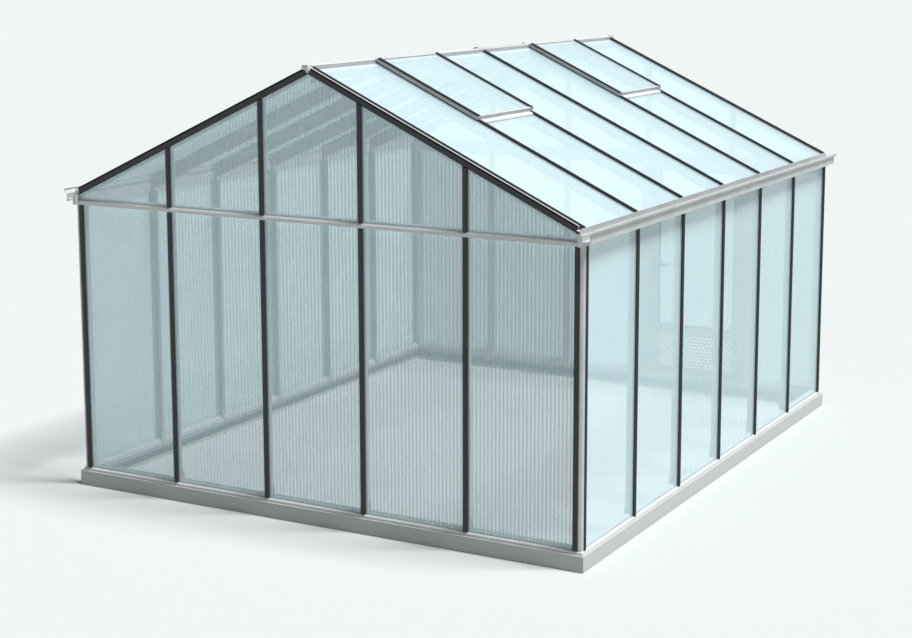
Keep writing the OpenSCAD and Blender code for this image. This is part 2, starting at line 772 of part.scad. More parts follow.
module vent_frames() {
    half = vent_w / 2;
    color(silver) at_vents() {
        difference() {
            block([vent_s0, -half, fit], [vent_s1, half, vent_top]);
            block([vent_s0 + vent_end, -half + vent_rail, 0],
                  [vent_s1 - vent_end, half - vent_rail, vent_top + 1]);
            block([vent_s0 + vent_wall, -half + vent_edge, vent_floor],
                  [vent_s1 - vent_wall, half - vent_edge, vent_top + 1]);
        }
        translate([vent_s0, 0, 0]) vent_end_lip();
        translate([vent_s1, 0, 0]) mirror([1, 0, 0]) vent_end_lip();
        translate([hook_s, 0, hook_n]) rotate([90, 0, 0])
            linear_extrude(height = vent_w, center = true) vent_hook_section();
    }
}

module vent_sheets() {
    half = vent_w / 2 - vent_edge - slot;
    color(sheet_blue) at_vents()
        block([vent_s0 + vent_wall + slot, -half, vent_top - sheet_t],
              [vent_s1 - vent_wall - slot, half, vent_top]);
}

module vent_gaskets() {
    color(black) at_vents() for (side = [-1, 1])
        translate([vent_s0 + vent_wall, side * (vent_w / 2 - gasket_w / 2), vent_h]) rotate([90, 0, 90])
            linear_extrude(height = vent_l - 2 * vent_wall) gasket_section(0);
}

// ---- door ----

// Section of a door post, the door on its +X side: a tube behind the sheet, a raised
// edge beside it and a stop behind the leaf.
module door_post_section() {
    half = post_w / 2;
    difference() {
        union() {
            translate([-half, -bar_back]) square([post_w, bar_back - flange_face]);
            translate([-web_t / 2, -flange_face - 1]) square([half + web_t / 2, flange_face - sheet_face + 1]);
        }
        translate([-half + web_t, -bar_back + web_t])
            square([post_w - 2 * web_t, bar_back - flange_face - 2 * web_t]);
    }
    translate([half - 1, -stop_in - web_t]) square([leaf_gap + stop_lap + 1, web_t]);
}

module door_posts() {
    color(silver) on_front() {
        translate([door_x1, 0, bar_z0]) linear_extrude(height = rail_z - fit - bar_z0) door_post_section();
        translate([door_x0, 0, bar_z0]) mirror([1, 0, 0])
            linear_extrude(height = rail_z - fit - bar_z0) door_post_section();
    }
}

module hinge_pin_half(z) {
    y = -half_l - hinge_out;
    translate([hinge_x, y, z]) {
        cylinder(r = hinge_r, h = hinge_half, $fn = 48);
        translate([0, 0, hinge_half - 1]) cylinder(r = pin_r, h = hinge_half - pin_end, $fn = 48);
    }
}

module door_post_hinges() {
    color(silver) for (z = hinge_zs) {
        hinge_pin_half(z);
        block([opening_x1 - hinge_post_w, -half_l - hinge_out, z],
              [hinge_x - pin_r / 2, -half_l + gasket_t - fit, z + hinge_half]);
    }
}

module door_leaf_hinges() {
    color(silver) for (z = hinge_zs) difference() {
        union() {
            translate([hinge_x, -half_l - hinge_out, z + hinge_half + fit])
                cylinder(r = hinge_r, h = hinge_half, $fn = 48);
            block([hinge_x + pin_r / 2, -half_l - hinge_out, z + hinge_half + fit],
                  [leaf_x1 + hinge_leaf_w, -half_l - fit, z + 2 * hinge_half + fit]);
        }
        translate([hinge_x, -half_l - hinge_out, z + hinge_half - 1])
            cylinder(r = pin_r + pin_gap, h = hinge_half + pin_end, $fn = 48);
    }
}

// A box within the leaf's stiles, from z0 to z1, grown by "grow" and t thick.
module door_light(z0, z1, grow, t) {
    y = -half_l + leaf_t / 2;
    block([leaf_x1 + stile_w - grow, y - t / 2, z0 - grow],
          [leaf_x0 - stile_w + grow, y + t / 2, z1 + grow]);
}
module glass_light(grow, t) { door_light(kick_top, leaf_z1 - top_rail, grow, t); }
module panel_light(grow, t) { door_light(leaf_z0 + bottom_rail, kick_top - mid_rail, grow, t); }

// Stiles and three rails, with a groove round the sheet and another round the kick panel.
module door_frame() {
    color(silver) difference() {
        block([leaf_x1, -half_l, leaf_z0], [leaf_x0, -half_l + leaf_t, leaf_z1]);
        glass_light(0, leaf_t + 2);
        panel_light(0, leaf_t + 2);
        glass_light(tuck, sheet_t + 2 * seat);
        panel_light(tuck, sheet_t + 2 * seat);
    }
}

module door_sheet() { color(sheet_blue) glass_light(tuck - slot, sheet_t); }

module door_kick_panel() {
    color(silver) {
        panel_light(tuck - slot, sheet_t);
        panel_light(-panel_edge, sheet_t + 2 * panel_raise);
    }
}

// Lever handle on one face of the leaf, drawn towards -Y.
module lever_handle() {
    rotate([90, 0, 0]) {
        translate([-plate_w / 2, (plate_w - plate_h) / 2, 0]) cube([plate_w, plate_h - plate_w, plate_t]);
        for (end = [-1, 1]) translate([0, end * (plate_h - plate_w) / 2, 0])
            cylinder(r = plate_w / 2, h = plate_t, $fn = 48);
        cylinder(r = spindle_r, h = spindle_out, $fn = 48);
    }
    translate([0, -spindle_out, 0]) {
        rotate([0, -90, 0]) cylinder(r = lever_r, h = lever_l, $fn = 48);
        sphere(r = spindle_r, $fn = 48);
        translate([-lever_l, 0, 0]) sphere(r = lever_r, $fn = 48);
    }
}
module door_handle() {
    color(black) translate([leaf_x0 - stile_w / 2, -half_l + leaf_t / 2, handle_z])
        for (face = [0, 1]) mirror([0, face, 0]) translate([0, -leaf_t / 2 - fit, 0]) lever_handle();
}

back_plinth();
front_plinth();
left_plinth();
right_plinth();
sills();
corner_posts();
back_wall_bars();
front_wall_bars();
left_wall_bars();
right_wall_bars();
back_gable_bars();
front_gable_bars();
back_cross_rail();
front_cross_rail();
front_header();
left_gutter();
right_gutter();
ridge_beam();
ridge_end_caps();
left_rafters();
right_rafters();
gable_rafters();
back_wall_sheets();
front_wall_sheets();
left_wall_sheets();
right_wall_sheets();
back_gable_sheets();
front_gable_sheets();
left_roof_sheets();
right_roof_sheets();
wall_gaskets();
gable_gaskets();
roof_gaskets();
vent_sills();
vent_frames();
vent_sheets();
vent_gaskets();
door_posts();
door_post_hinges();
door_frame();
door_sheet();
door_kick_panel();
door_leaf_hinges();
door_handle();
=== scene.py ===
import json
import math

import bmesh
import bpy
import numpy as np
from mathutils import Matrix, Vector

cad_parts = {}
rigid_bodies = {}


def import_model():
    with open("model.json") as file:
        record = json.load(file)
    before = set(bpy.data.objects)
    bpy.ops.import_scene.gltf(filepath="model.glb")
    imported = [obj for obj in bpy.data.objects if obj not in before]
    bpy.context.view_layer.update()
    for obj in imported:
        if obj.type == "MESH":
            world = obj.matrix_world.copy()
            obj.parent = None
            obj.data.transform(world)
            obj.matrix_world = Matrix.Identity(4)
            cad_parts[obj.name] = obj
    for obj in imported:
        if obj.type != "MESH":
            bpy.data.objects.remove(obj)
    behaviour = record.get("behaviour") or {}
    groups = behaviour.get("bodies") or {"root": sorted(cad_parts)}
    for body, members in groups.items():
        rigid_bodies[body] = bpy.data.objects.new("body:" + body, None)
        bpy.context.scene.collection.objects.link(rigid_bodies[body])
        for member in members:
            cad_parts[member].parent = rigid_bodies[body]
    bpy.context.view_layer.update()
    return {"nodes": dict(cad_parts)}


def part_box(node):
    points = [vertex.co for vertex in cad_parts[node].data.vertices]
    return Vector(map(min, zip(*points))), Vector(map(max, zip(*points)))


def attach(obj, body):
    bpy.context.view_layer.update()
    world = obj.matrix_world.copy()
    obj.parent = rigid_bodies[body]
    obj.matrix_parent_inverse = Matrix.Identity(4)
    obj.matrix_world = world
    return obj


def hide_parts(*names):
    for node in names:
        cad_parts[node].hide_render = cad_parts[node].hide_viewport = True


for item in list(bpy.data.objects):
    bpy.data.objects.remove(item, do_unlink=True)  # the start-up cube, lamp and camera

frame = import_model()
nodes = frame["nodes"]
print("frame loaded:", len(nodes), "CAD nodes")

mm = 0.001


def linear(hexColour):
    # an sRGB colour written as six hex digits, turned linear
    channels = np.array([int(hexColour[i:i + 2], 16) for i in (0, 2, 4)]) / 255
    low = channels / 12.92
    high = ((channels + 0.055) / 1.055) ** 2.4
    return (*np.where(channels <= 0.04045, low, high).tolist(), 1.0)


def add(tree, kind, links=None, **settings):
    # one node: settings are its own properties, and links give each socket
    # a value or another node's socket
    node = tree.nodes.new(kind)
    for key, value in settings.items():
        setattr(node, key, value)
    for key, value in (links or {}).items():
        if isinstance(value, bpy.types.NodeSocket):
            tree.links.new(value, node.inputs[key])
        else:
            node.inputs[key].default_value = value
    return node


def startMaterial(name):
    material = bpy.data.materials.new(name)
    material.use_nodes = True
    tree = material.node_tree
    tree.nodes.clear()
    place = add(tree, "ShaderNodeTexCoord").outputs["Object"]
    return material, tree, place


def finishMaterial(tree, shader):
    add(tree, "ShaderNodeOutputMaterial", {"Surface": shader})


def stretched(tree, place, along, factor):
    # the place with its part along one direction shrunk to factor of itself,
    # so that a noise read there runs in long streaks
    share = add(tree, "ShaderNodeVectorMath", {
        0: place, 1: along}, operation="DOT_PRODUCT").outputs["Value"]
    cut = add(tree, "ShaderNodeMath", {0: share, 1: 1 - factor}, operation="MULTIPLY").outputs[0]
    part = add(tree, "ShaderNodeVectorMath", {
        0: along, "Scale": cut}, operation="SCALE").outputs["Vector"]
    return add(tree, "ShaderNodeVectorMath", {
        0: place, 1: part}, operation="SUBTRACT").outputs["Vector"]


noiseLow, noiseHigh = 0.3, 0.7  # most values of a noise lie between these
grainDepth = 0.05 * mm          # depth of the fine grain on a coat, a rubber or a moulding

frameLook = {
    "colour": "bcbdbe",
    "dull": "aeb0b1",
    "dullFrom": 0.38,         # the clouding at which the dull patches begin, and are whole
    "dullTo": 0.66,
    "cloudMm": 180,
    "roughness": 0.36,
    "roughnessSpread": 0.12,
    "dieLineMm": 2.5,         # real ones are under 1 mm apart; this coarse so that they show
    "dieLineStretch": 0.004,
    "dieLineBump": 0.10,
}
ledgeHighlightLook = {**frameLook, "colour": "cbcccc", "dull": "c3c5c6"}  # sills and rails in a paler copy of the coat: a painted highlight for the light on their top ledges


def coatedExtrusion(name, along, look=frameLook):
    # Extruded aluminium under a satin silver-grey powder coat. The die's fine lines still
    # show through the coat along each bar, and rain has dulled it a little in soft patches.
    material, tree, place = startMaterial(name)
    lines = add(tree, "ShaderNodeTexNoise", {
        "Vector": stretched(tree, place, along, look["dieLineStretch"]),
        "Scale": 1 / (look["dieLineMm"] * mm), "Detail": 3.0, "Roughness": 0.6}).outputs["Fac"]
    cloud = add(tree, "ShaderNodeTexNoise", {
        "Vector": place, "Scale": 1 / (look["cloudMm"] * mm), "Detail": 4.0}).outputs["Fac"]
    patches = add(tree, "ShaderNodeMapRange", {
        "Value": cloud, "From Min": look["dullFrom"], "From Max": look["dullTo"]}).outputs["Result"]
    colour = add(tree, "ShaderNodeMix", {
        "Factor": patches, "A": linear(look["colour"]), "B": linear(look["dull"])},
        data_type="RGBA")
    rough = add(tree, "ShaderNodeMapRange", {
        "Value": lines, "From Min": noiseLow, "From Max": noiseHigh,
        "To Min": look["roughness"], "To Max": look["roughness"] + look["roughnessSpread"]})
    bump = add(tree, "ShaderNodeBump", {
        "Height": lines, "Strength": look["dieLineBump"], "Distance": grainDepth})
    shader = add(tree, "ShaderNodeBsdfPrincipled", {
        "Base Color": colour.outputs["Result"], "Roughness": rough.outputs["Result"],
        "IOR": 1.5, "Normal": bump.outputs["Normal"]})
    finishMaterial(tree, shader.outputs[0])
    return material


baseLook = {
    "colour": "b2b3b3",
    "dusty": "a8a8a6",
    "dustTopMm": 60,      # how high the splashed dust reaches
    "dustShare": 0.9,     # and how thick it lies at the ground
    "splashMm": 45,
    "roughness": 0.5,
    "roughnessSpread": 0.25,
    "peelMm": 1.8,
    "peelBump": 0.12,
}


def powderCoat(name):
    # Light grey powder coat, sprayed and baked on the extruded base. It gives a matt grey
    # with a fine orange peel, and rain splash leaves it a little duller near the ground.
    look = baseLook
    material, tree, place = startMaterial(name)
    peel = add(tree, "ShaderNodeTexNoise", {
        "Vector": place, "Scale": 1 / (look["peelMm"] * mm), "Detail": 2.0}).outputs["Fac"]
    splash = add(tree, "ShaderNodeTexNoise", {
        "Vector": place, "Scale": 1 / (look["splashMm"] * mm),
        "Detail": 5.0, "Roughness": 0.65}).outputs["Fac"]
    height = add(tree, "ShaderNodeSeparateXYZ", {"Vector": place}).outputs["Z"]
    low = add(tree, "ShaderNodeMapRange", {
        "Value": height, "From Min": 0.0, "From Max": look["dustTopMm"] * mm,
        "To Min": look["dustShare"], "To Max": 0.0},
        interpolation_type="SMOOTHSTEP").outputs["Result"]
    dust = add(tree, "ShaderNodeMath", {0: low, 1: splash}, operation="MULTIPLY").outputs[0]
    colour = add(tree, "ShaderNodeMix", {
        "Factor": dust, "A": linear(look["colour"]), "B": linear(look["dusty"])},
        data_type="RGBA")
    rough = add(tree, "ShaderNodeMapRange", {
        "Value": dust, "To Min": look["roughness"],
        "To Max": look["roughness"] + look["roughnessSpread"]})
    bump = add(tree, "ShaderNodeBump", {
        "Height": peel, "Strength": look["peelBump"], "Distance": grainDepth})
    shader = add(tree, "ShaderNodeBsdfPrincipled", {
        "Base Color": colour.outputs["Result"], "Roughness": rough.outputs["Result"],
        "IOR": 1.5, "Normal": bump.outputs["Normal"]})
    finishMaterial(tree, shader.outputs[0])
    return material


rubberLook = {
    "colour": "161617",
    "bloom": "202021",
    "bloomFrom": 0.45,    # the clouding at which the grey bloom begins, and is whole
    "bloomTo": 0.75,
    "bloomMm": 90,
    "shine": 0.5,
    "roughness": 0.5,
    "roughnessSpread": 0.2,
    "grainMm": 1.2,
    "grainBump": 0.15,
}
roofRubberLook = {**rubberLook, "shine": 0.2, "roughness": 0.75}  # the sun has dulled it


def extrudedRubber(name, look=rubberLook):
    # Black EPDM rubber, extruded as a strip. Its skin is a soft satin black with faint grey
    # bloom, and it catches a dim line of light on each rounded edge.
    material, tree, place = startMaterial(name)
    grain = add(tree, "ShaderNodeTexNoise", {
        "Vector": place, "Scale": 1 / (look["grainMm"] * mm), "Detail": 2.0}).outputs["Fac"]
    cloud = add(tree, "ShaderNodeTexNoise", {
        "Vector": place, "Scale": 1 / (look["bloomMm"] * mm), "Detail": 5.0}).outputs["Fac"]
    bloom = add(tree, "ShaderNodeMapRange", {
        "Value": cloud, "From Min": look["bloomFrom"],
        "From Max": look["bloomTo"]}).outputs["Result"]
    colour = add(tree, "ShaderNodeMix", {
        "Factor": bloom, "A": linear(look["colour"]), "B": linear(look["bloom"])},
        data_type="RGBA")
    rough = add(tree, "ShaderNodeMapRange", {
        "Value": bloom, "To Min": look["roughness"],
        "To Max": look["roughness"] + look["roughnessSpread"]})
    bump = add(tree, "ShaderNodeBump", {
        "Height": grain, "Strength": look["grainBump"], "Distance": grainDepth})
    shader = add(tree, "ShaderNodeBsdfPrincipled", {
        "Base Color": colour.outputs["Result"], "Roughness": rough.outputs["Result"],
        "IOR": 1.5, "Specular IOR Level": look["shine"], "Normal": bump.outputs["Normal"]})
    finishMaterial(tree, shader.outputs[0])
    return material


sheetLook = {
    "colour": "d8eff6",
    "rib": "b4d1da",
    "ribPitchMm": 740 / 28,  # twenty-eight ribs to a bay
    "ribFrom": -0.5,         # where a rib's stripe begins and is whole, on a wave from -1 to 1
    "ribTo": 0.7,
    "open": 0.65,            # share of a look that each skin lets straight through between ribs
    "openAtRib": 0.45,
    "openToLight": 0.97,     # and of the light that falls on it, mostly scattered forwards
    "roughness": 0.12,
    "skinWaveBump": 0.1,
    "skinWaveMm": 0.3,
}


def twinWallSheet(name, across):
    # Twin-wall polycarbonate, extruded as two clear skins joined by ribs. It is pale
    # and milky blue, you see through it dimly, and the ribs run down it as fine stripes:
    # their strength is a sine of the place across the sheet, with its lower part cut off.
    look = sheetLook
    material, tree, place = startMaterial(name)
    parts = add(tree, "ShaderNodeSeparateXYZ", {"Vector": place})
    turns = add(tree, "ShaderNodeMath", {
        0: parts.outputs[across], 1: 2 * math.pi / (look["ribPitchMm"] * mm)},
        operation="MULTIPLY")
    wave = add(tree, "ShaderNodeMath", {0: turns.outputs[0]}, operation="SINE").outputs[0]
    rib = add(tree, "ShaderNodeMapRange", {
        "Value": wave, "From Min": look["ribFrom"], "From Max": look["ribTo"]},
        interpolation_type="SMOOTHSTEP").outputs["Result"]
    colour = add(tree, "ShaderNodeMix", {
        "Factor": rib, "A": linear(look["colour"]), "B": linear(look["rib"])},
        data_type="RGBA")
    bump = add(tree, "ShaderNodeBump", {
        "Height": rib, "Strength": look["skinWaveBump"],
        "Distance": look["skinWaveMm"] * mm}, invert=True)
    skin = add(tree, "ShaderNodeBsdfPrincipled", {
        "Base Color": colour.outputs["Result"], "Roughness": look["roughness"],
        "IOR": 1.58, "Normal": bump.outputs["Normal"]})
    clear = add(tree, "ShaderNodeBsdfTransparent")
    toLook = add(tree, "ShaderNodeMapRange", {
        "Value": rib, "To Min": look["open"], "To Max": look["openAtRib"]}).outputs["Result"]
    path = add(tree, "ShaderNodeLightPath")
    isLight = add(tree, "ShaderNodeMath", {
        0: path.outputs["Is Shadow Ray"], 1: path.outputs["Is Diffuse Ray"]},
        operation="MAXIMUM").outputs[0]
    share = add(tree, "ShaderNodeMix", {
        "Factor": isLight, "A": toLook, "B": look["openToLight"]}).outputs["Result"]
    shader = add(tree, "ShaderNodeMixShader", {0: share, 1: skin.outputs[0], 2: clear.outputs[0]})
    finishMaterial(tree, shader.outputs[0])
    return material


nylonLook = {
    "colour": "2b2c2d",
    "cloudMm": 30,
    "roughness": 0.36,
    "roughnessSpread": 0.16,
    "grainMm": 0.9,
    "grainBump": 0.2,
}


def mouldedNylon(name):
    # Glass-filled nylon, injection moulded in a spark-eroded tool: black, with a fine
    # leathery grain that spreads the highlight.
    look = nylonLook
    material, tree, place = startMaterial(name)
    grain = add(tree, "ShaderNodeTexVoronoi", {
        "Vector": place, "Scale": 1 / (look["grainMm"] * mm)}).outputs["Distance"]
    cloud = add(tree, "ShaderNodeTexNoise", {
        "Vector": place, "Scale": 1 / (look["cloudMm"] * mm)}).outputs["Fac"]
    rough = add(tree, "ShaderNodeMapRange", {
        "Value": cloud, "To Min": look["roughness"],
        "To Max": look["roughness"] + look["roughnessSpread"]})
    bump = add(tree, "ShaderNodeBump", {
        "Height": grain, "Strength": look["grainBump"], "Distance": grainDepth})
    shader = add(tree, "ShaderNodeBsdfPrincipled", {
        "Base Color": linear(look["colour"]), "Roughness": rough.outputs["Result"],
        "IOR": 1.53, "Normal": bump.outputs["Normal"]})
    finishMaterial(tree, shader.outputs[0])
    return material


steelLook = {
    "colour": "b9b7b2",
    "roughness": 0.28,
    "roughnessSpread": 0.2,
    "scratchMm": 1.0,
    "scratchBump": 0.1,
    "scratchDepthMm": 0.03,
}


def stainlessSteel(name):
    # Bright stainless steel, cold headed and tumbled: small warm glints with fine scratches.
    look = steelLook
    material, tree, place = startMaterial(name)
    scratch = add(tree, "ShaderNodeTexNoise", {
        "Vector": place, "Scale": 1 / (look["scratchMm"] * mm), "Detail": 4.0}).outputs["Fac"]
    rough = add(tree, "ShaderNodeMapRange", {
        "Value": scratch, "From Min": noiseLow, "From Max": noiseHigh,
        "To Min": look["roughness"], "To Max": look["roughness"] + look["roughnessSpread"]})
    bump = add(tree, "ShaderNodeBump", {
        "Height": scratch, "Strength": look["scratchBump"],
        "Distance": look["scratchDepthMm"] * mm})
    shader = add(tree, "ShaderNodeBsdfPrincipled", {
        "Base Color": linear(look["colour"]), "Metallic": 1.0,
        "Roughness": rough.outputs["Result"], "Normal": bump.outputs["Normal"]})
    finishMaterial(tree, shader.outputs[0])
    return material


pitch = math.radians(25)  # of the roof
upSlope = (math.cos(pitch), 0.0, math.sin(pitch))
downSlope = (math.cos(pitch), 0.0, -math.sin(pitch))

coatAlongX = coatedExtrusion("coated aluminium, extruded across", (1.0, 0.0, 0.0))
coatAlongY = coatedExtrusion("coated aluminium, extruded along", (0.0, 1.0, 0.0))
coatUpright = coatedExtrusion("coated aluminium, extruded upright", (0.0, 0.0, 1.0))
# sills and rails run both ways, so their die lines are only a fine grain; their paler coat is a
# painted highlight for the light on their ledges
coatPaintedHighlight = coatedExtrusion("pale coated aluminium, sills and rails", (1.0, 1.0, 0.0), ledgeHighlightLook)
coatLeftSlope = coatedExtrusion("coated aluminium, left rafters", upSlope)
coatRightSlope = coatedExtrusion("coated aluminium, right rafters", downSlope)
basePaint = powderCoat("powder-coated aluminium base")
roofRubber = extrudedRubber("weathered black EPDM, roof gaskets", roofRubberLook)
rubber = extrudedRubber("extruded EPDM rubber")
sheetAcross = twinWallSheet("twin-wall polycarbonate, ribs across X", "X")
sheetAlong = twinWallSheet("twin-wall polycarbonate, ribs along Y", "Y")
nylon = mouldedNylon("moulded black nylon")
steel = stainlessSteel("tumbled stainless steel")

finishes = {
    # sills, rails, the ridge beam, its end caps and the vent sills take the paler coat, a painted
    # highlight
    coatPaintedHighlight: ["sills", "back_cross_rail", "front_cross_rail", "ridge_beam", "ridge_end_caps",
               "vent_sills"],
    coatAlongX: ["front_header", "door_kick_panel"],
    coatAlongY: ["left_gutter", "right_gutter", "vent_frames"],
    coatUpright: ["corner_posts", "back_wall_bars", "front_wall_bars", "left_wall_bars",
                  "right_wall_bars", "back_gable_bars", "front_gable_bars", "door_posts",
                  "door_post_hinges", "door_frame", "door_leaf_hinges"],
    coatLeftSlope: ["left_rafters"],
    coatRightSlope: ["right_rafters", "gable_rafters"],
    basePaint: ["back_plinth", "front_plinth", "left_plinth", "right_plinth"],
    rubber: ["wall_gaskets", "gable_gaskets"],
    roofRubber: ["roof_gaskets", "vent_gaskets"],
    sheetAcross: ["back_wall_sheets", "front_wall_sheets", "back_gable_sheets",
                  "front_gable_sheets", "door_sheet"],
    sheetAlong: ["left_wall_sheets", "right_wall_sheets", "left_roof_sheets",
                 "right_roof_sheets", "vent_sheets"],
    nylon: ["door_handle"],
}
for finish, names in finishes.items():
    for name in names:
        for slot in nodes[name].material_slots:
            slot.material = finish
unfinished = set(nodes) - {name for names in finishes.values() for name in names}
print("materials on", len(nodes) - len(unfinished), "nodes; none on", sorted(unfinished))


def addPiece(name, points, faces, finish, body, slot, smooth=30):
    # a mesh of its own, its doubled points merged and its faces turned outwards;
    # edges sharper than smooth, in degrees, stay sharp
    mesh = bpy.data.meshes.new(name)
    mesh.from_pydata(np.reshape(points, (-1, 3)).tolist(), [], np.reshape(faces, (-1, 4)).tolist())
    shape = bmesh.new()
    shape.from_mesh(mesh)
    bmesh.ops.remove_doubles(shape, verts=shape.verts, dist=0.01 * mm)
    bmesh.ops.recalc_face_normals(shape, faces=shape.faces)
    shape.to_mesh(mesh)
    shape.free()
    mesh.shade_smooth()
    mesh.set_sharp_from_angle(angle=math.radians(smooth))
    mesh.materials.append(finish)
    piece = bpy.data.objects.new(name, mesh)
    bpy.context.scene.collection.objects.link(piece)
    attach(piece, body)
    return piece


def gridFaces(rows, columns, closed=False):
    # quads between the points of a grid; closed joins its last column to its first
    across = np.arange(columns if closed else columns - 1)
    row = np.arange(rows - 1)[:, None] * columns
    here, there = row + across, row + (across + 1) % columns
    return np.stack([here, there, there + columns, here + columns], axis=-1).reshape(-1, 4)


def turned(profile, steps):
    # a profile of (radius, height) carried round the Z axis: x = r cos t, y = r sin t, z = h
    t = np.arange(steps) * 2 * math.pi / steps
    r, h = np.array(profile, float).T
    points = np.stack([np.outer(r, np.cos(t)), np.outer(r, np.sin(t)),
                       np.outer(h, np.ones(steps))], axis=-1)
    return points.reshape(-1, 3), gridFaces(len(profile), steps, closed=True)


def framed(profile, low, high, y):
    # a profile of (outwards, forwards) carried round a rectangle in XZ, mitred at its corners:
    # each corner moves out by the profile's first number, and the whole by its second along -Y
    corners = np.array([(-1, -1), (1, -1), (1, 1), (-1, 1)])
    middle = (np.array(low) + np.array(high)) / 2
    half = (np.array(high) - np.array(low)) / 2
    outwards, forwards = np.array(profile, float).T
    x = middle[0] + corners[:, 0] * (half[0] + outwards[:, None])
    z = middle[1] + corners[:, 1] * (half[1] + outwards[:, None])
    points = np.stack([x, y - np.repeat(forwards[:, None], 4, axis=1), z], axis=-1)
    points = np.concatenate([points, points[:1]])
    return points.reshape(-1, 3), gridFaces(len(points), 4, closed=True)


def roundedPlate(width, height, thickness, corner):
    # a flat plate standing on XY with Z its thickness: rings of four quarter circles of radius
    # corner, the topmost drawn in by a softened edge, closed at the middle of either face
    t = np.linspace(0, math.pi / 2, 5)
    edge = thickness / 4
    rings = []
    for inset, z in ((0.0, 0.0), (0.0, thickness - edge), (edge, thickness)):
        reach = corner - inset
        for sx, sy, quarter in ((1, 1, 0), (-1, 1, 1), (-1, -1, 2), (1, -1, 3)):
            angle = t + quarter * math.pi / 2
            rings.append(np.stack([sx * (width / 2 - corner) + reach * np.cos(angle),
                                   sy * (height / 2 - corner) + reach * np.sin(angle),
                                   np.full(len(t), z)], axis=-1))
    steps = 4 * len(t)
    under, over = np.zeros((steps, 3)), np.tile([[0.0, 0.0, thickness]], (steps, 1))
    points = np.concatenate([under, *rings, over])
    return points, gridFaces(len(points) // steps, steps, closed=True)


def copies(points, faces, spots):
    # the same small shape set at each spot, its Z axis turned along the spot's direction
    allPoints, allFaces = [], []
    for number, (position, outward) in enumerate(spots):
        turn = np.array(Vector(outward).to_track_quat("Z", "Y").to_matrix())
        allPoints.append(points @ turn.T + np.array(position))
        allFaces.append(faces + number * len(points))
    return np.concatenate(allPoints), np.concatenate(allFaces)


def nodePoints(node):
    # the corner points of a CAD node's mesh
    mesh = nodes[node].data
    points = np.zeros(len(mesh.vertices) * 3)
    mesh.vertices.foreach_get("co", points)
    return points.reshape(-1, 3)


def barLines(node):
    # the centre line of each bar in a row of them, found where the node's points leave wide gaps
    low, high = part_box(node)
    axis = 0 if high.x - low.x > high.y - low.y else 1
    values = np.unique(np.round(nodePoints(node)[:, axis], 5))
    wideGap = 200 * mm
    groups = np.split(values, np.where(np.diff(values) > wideGap)[0] + 1)
    return [float((group[0] + group[-1]) / 2) for group in groups]


kickPanel = {
    "stepAcross": 10 / 3 * mm,  # fineness of the grid
    "stepDown": 2 * mm,
    "hoodWidth": 18 * mm,
    "hoodHeight": 13 * mm,
    "hoodOut": 5 * mm,
    "gap": 7 * mm,              # open slot below each hood
    "rowPitch": 28 * mm,
    "rows": 10,
    "columnPitch": 40 * mm,
    "topBorder": 50 * mm,
    "sideBorder": 28 * mm,
    "thickness": 1.5 * mm,
}


def louvredPanel():
    # A thin sheet with rows of pressed hoods, each row shifted by half a pitch. Over a hood
    # a is the share across it from -1 to 1 and b the share down it from 0 to 1: it stands
    # out by hoodOut * sqrt(1 - a^2) * sin(b * 90 degrees), with an open slot below its lip.
    look = kickPanel
    low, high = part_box("door_kick_panel")
    x = np.linspace(low.x, high.x, round((high.x - low.x) / look["stepAcross"]) + 1)
    z = np.linspace(low.z, high.z, round((high.z - low.z) / look["stepDown"]) + 1)
    xx, zz = np.meshgrid(x, z)
    down = high.z - look["topBorder"] - zz
    row = np.floor(down / look["rowPitch"])
    shift = (row % 2) * look["columnPitch"] / 2
    inRow = (xx - low.x - look["sideBorder"] - shift) % look["columnPitch"]
    a = (inRow - look["columnPitch"] / 2) / (look["hoodWidth"] / 2)
    b = (down - row * look["rowPitch"]) / look["hoodHeight"]
    inside = ((xx > low.x + look["sideBorder"]) & (xx < high.x - look["sideBorder"])
              & (row >= 0) & (row < look["rows"]) & (np.abs(a) < 1))
    arch = np.sqrt(np.clip(1 - a ** 2, 0, 1)) * np.sin(np.clip(b, 0, 1) * math.pi / 2)
    y = (low.y + high.y) / 2 - look["hoodOut"] * np.where(inside & (b <= 1), arch, 0)
    slot = inside & (b > 1) & (b < 1 + look["gap"] / look["hoodHeight"])
    faces = gridFaces(len(z), len(x))
    cutOut = slot.reshape(-1)[faces].any(axis=1)
    piece = addPiece("door_kick_louvres", np.stack([xx, y, zz], axis=-1), faces[~cutOut],
                     coatAlongX, "door", "frame_aluminium", smooth=60)
    solid = piece.modifiers.new("thickness", "SOLIDIFY")
    solid.thickness = look["thickness"]
    solid.offset = 0
    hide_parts("door_kick_panel")


louvredPanel()
print("kick panel pressed")

leafLow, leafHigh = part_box("door_frame")
lightLow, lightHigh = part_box("door_sheet")

beads = {
    "tuckIn": 10.5 * mm,  # how far the door's sheet reaches into its frame
    "width": 9 * mm,
    "out": 3 * mm,
    "back": 8.5 * mm,
    "steps": 7,
}


def glazingBeads():
    # a rounded rubber bead pressed in round the door's sheet, on either face of the leaf:
    # half an ellipse in front, with the bead's foot behind it
    t = np.linspace(0, math.pi, beads["steps"])
    front = np.stack([-beads["width"] / 2 * (1 - np.cos(t)), beads["out"] * np.sin(t)], axis=-1)
    foot = [(-beads["width"], -beads["back"]), (0, -beads["back"])]
    low = (lightLow.x + beads["tuckIn"], lightLow.z + beads["tuckIn"])
    high = (lightHigh.x - beads["tuckIn"], lightHigh.z - beads["tuckIn"])
    outer, faces = framed(np.concatenate([front, foot]), low, high, leafLow.y)
    inner = outer.copy()
    inner[:, 1] = leafLow.y + leafHigh.y - outer[:, 1]
    addPiece("door_glazing_beads", np.concatenate([outer, inner]),
             np.concatenate([faces, faces + len(outer)]), rubber, "door", "black_gasket")


glazingBeads()

